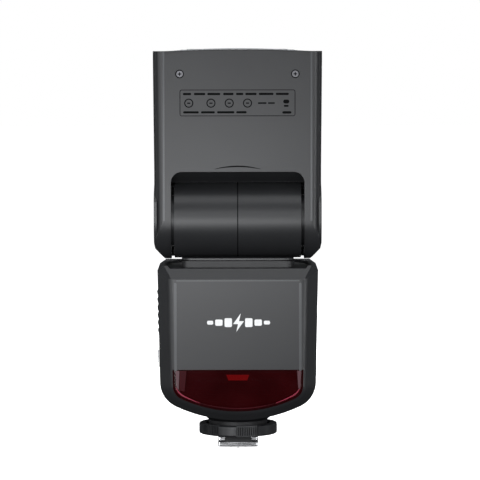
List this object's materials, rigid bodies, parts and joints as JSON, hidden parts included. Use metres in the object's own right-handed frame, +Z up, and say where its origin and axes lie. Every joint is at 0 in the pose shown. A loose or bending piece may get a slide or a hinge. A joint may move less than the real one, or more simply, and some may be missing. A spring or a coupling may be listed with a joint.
{
  "type": "speedlight flash",
  "caption": "Shoe-mount flash with a swivelling, tilting head, red focus-assist window, side battery door, rear controls and a knurled lock wheel above its foot.",
  "frame": {"origin": "centre of the underside of the shoe foot's plate", "axes": "+Z up from the foot along the body towards the lens, -Y towards the front with the red window, +X to the right seen from the front; the head points straight up with its underside to the front"},
  "size_m": [0.078, 0.063, 0.1858],
  "materials": {
    "case_plastic": "fine-textured satin",
    "trim_plastic": "satin",
    "red_window": "deep red tinted, glossy",
    "red_lamp": "glossy",
    "clear_plastic": "clear, ribbed inside",
    "white_plastic": "white",
    "display_cover": "tinted",
    "display_module": "grey-green",
    "circuit_board": "solder mask",
    "cell_sleeve": "printed sleeve over a metal can",
    "can_metal": "sleeved",
    "spring_steel": "bright",
    "foot_metal": "polished",
    "axle_metal": "machined",
    "contact_gold": "plated",
    "reflector_metal": "mirror bright",
    "tube_glass": "clear",
    "cover_rubber": "matte",
    "button_plastic": "satin gloss"
  },
  "bodies": {
    "body": {"body_front_shell": "case_plastic", "body_rear_shell": "case_plastic", "turntable_seat": "trim_plastic", "af_window": "red_window", "af_lamp": "red_lamp", "lcd_window": "display_cover", "lcd_module": "display_module", "battery_tray": "trim_plastic", "aa_cells": "cell_sleeve", "battery_contacts": "spring_steel", "main_board": "circuit_board", "main_capacitor": "can_metal", "inverter_transformer": "spring_steel", "body_screws": "spring_steel", "usb_socket": "spring_steel", "sync_jack": "trim_plastic", "foot_plate": "foot_metal", "foot_stem": "trim_plastic", "foot_contact_block": "trim_plastic"},
    "neck": {"swivel_base": "trim_plastic", "swivel_shaft": "axle_metal", "swivel_retaining_ring": "spring_steel", "neck_left_shell": "case_plastic", "neck_right_shell": "case_plastic", "tilt_detent_spring": "spring_steel"},
    "head": {"head_lower_shell": "case_plastic", "head_upper_shell": "case_plastic", "head_screws": "spring_steel", "hinge_cap_left": "case_plastic", "hinge_cap_right": "case_plastic", "head_bezel": "case_plastic", "fresnel_lens": "clear_plastic", "head_board": "circuit_board", "zoom_guide_rods": "spring_steel", "zoom_motor": "spring_steel", "tilt_axle": "axle_metal", "tilt_detent_disc": "spring_steel"},
    "zoom_unit": {"zoom_carriage": "trim_plastic", "reflector": "reflector_metal", "flash_tube": "tube_glass"},
    "lead_screw": {"zoom_lead_screw": "spring_steel"},
    "catchlight_card": {"catchlight_card": "white_plastic"},
    "wide_panel": {"wide_panel": "clear_plastic"},
    "door_pin": {"battery_door_hinge_pin": "spring_steel"},
    "battery_door": {"battery_door": "case_plastic"},
    "port_cover": {"port_cover": "cover_rubber"},
    "power_switch": {"power_switch": "button_plastic"},
    "select_dial": {"select_dial": "button_plastic"},
    "set_button": {"set_button": "button_plastic"},
    "mode_button": {"mode_button": "button_plastic"},
    "wireless_button": {"wireless_button": "button_plastic"},
    "test_button": {"test_button": "button_plastic"},
    "soft_key_1": {"soft_key_1": "button_plastic"},
    "soft_key_2": {"soft_key_2": "button_plastic"},
    "soft_key_3": {"soft_key_3": "button_plastic"},
    "soft_key_4": {"soft_key_4": "button_plastic"},
    "lock_wheel": {"lock_wheel": "case_plastic"},
    "shoe_clamp": {"clamp_plate": "foot_metal", "lock_pin": "spring_steel"},
    "contact_pins": {"contact_pins": "contact_gold"}
  },
  "joints": [
    {"name": "head_swivel", "type": "hinge", "parent": "body", "child": "neck", "pos_m": [0, 0, 0.0836], "axis": [0, 0, 1], "range_deg": [-150, 180]},
    {"name": "head_tilt", "type": "hinge", "parent": "neck", "child": "head", "pos_m": [0, 0, 0.1052], "axis": [1, 0, 0], "range_deg": [-30, 97]},
    {"name": "zoom_slide", "type": "slide", "parent": "head", "child": "zoom_unit", "axis": [0, 0, 1], "range_m": [0, 0.025]},
    {"name": "zoom_screw_turn", "type": "hinge", "parent": "head", "child": "lead_screw", "pos_m": [0.031, 0.018, 0.143], "axis": [0, 0, 1], "range_deg": [0, 1501]},
    {"name": "catchlight_card_slide", "type": "slide", "parent": "head", "child": "catchlight_card", "axis": [0, 0, 1], "range_m": [0, 0.04]},
    {"name": "wide_panel_slide", "type": "slide", "parent": "head", "child": "wide_panel", "axis": [0, 0, 1], "range_m": [0, 0.044]},
    {"name": "battery_door_slide", "type": "slide", "parent": "body", "child": "door_pin", "axis": [0, 0, -1], "range_m": [0, 0.0035]},
    {"name": "battery_door_swing", "type": "hinge", "parent": "door_pin", "child": "battery_door", "pos_m": [-0.0352, -0.0162, 0.055], "axis": [0, 0, 1], "range_deg": [0, 90]},
    {"name": "port_cover_swing", "type": "hinge", "parent": "body", "child": "port_cover", "pos_m": [0.03595, -0.006, 0.0388], "axis": [0, 0, -1], "range_deg": [0, 100]},
    {"name": "power_switch_slide", "type": "slide", "parent": "body", "child": "power_switch", "axis": [1, 0, 0], "range_m": [0, 0.004]},
    {"name": "select_dial_turn", "type": "hinge", "parent": "body", "child": "select_dial", "pos_m": [0, 0.03, 0.0315], "axis": [0, 1, 0], "continuous": true},
    {"name": "set_button_press", "type": "slide", "parent": "body", "child": "set_button", "axis": [0, -1, 0], "range_m": [0, 0.0006], "stiffness_N_per_m": 400},
    {"name": "mode_button_press", "type": "slide", "parent": "body", "child": "mode_button", "axis": [0, -1, 0], "range_m": [0, 0.0006], "stiffness_N_per_m": 400},
    {"name": "wireless_button_press", "type": "slide", "parent": "body", "child": "wireless_button", "axis": [0, -1, 0], "range_m": [0, 0.0006], "stiffness_N_per_m": 400},
    {"name": "test_button_press", "type": "slide", "parent": "body", "child": "test_button", "axis": [0, -1, 0], "range_m": [0, 0.0006], "stiffness_N_per_m": 400},
    {"name": "soft_key_1_press", "type": "slide", "parent": "body", "child": "soft_key_1", "axis": [0, -1, 0], "range_m": [0, 0.0006], "stiffness_N_per_m": 400},
    {"name": "soft_key_2_press", "type": "slide", "parent": "body", "child": "soft_key_2", "axis": [0, -1, 0], "range_m": [0, 0.0006], "stiffness_N_per_m": 400},
    {"name": "soft_key_3_press", "type": "slide", "parent": "body", "child": "soft_key_3", "axis": [0, -1, 0], "range_m": [0, 0.0006], "stiffness_N_per_m": 400},
    {"name": "soft_key_4_press", "type": "slide", "parent": "body", "child": "soft_key_4", "axis": [0, -1, 0], "range_m": [0, 0.0006], "stiffness_N_per_m": 400},
    {"name": "lock_wheel_turn", "type": "hinge", "parent": "body", "child": "lock_wheel", "pos_m": [0, 0, 0.0078], "axis": [0, 0, 1], "range_deg": [0, 120]},
    {"name": "shoe_clamp_slide", "type": "slide", "parent": "body", "child": "shoe_clamp", "axis": [0, 0, 1], "range_m": [0, 0.001]},
    {"name": "contact_pins_press", "type": "slide", "parent": "body", "child": "contact_pins", "axis": [0, 0, 1], "range_m": [0, 0.0006], "stiffness_N_per_m": 400}
  ],
  "couplings": [
    {"joint": "zoom_screw_turn", "follows": "zoom_slide", "rad_per_m": 1047.2},
    {"joint": "shoe_clamp_slide", "follows": "lock_wheel_turn", "m_per_rad": 0.000477}
  ]
}
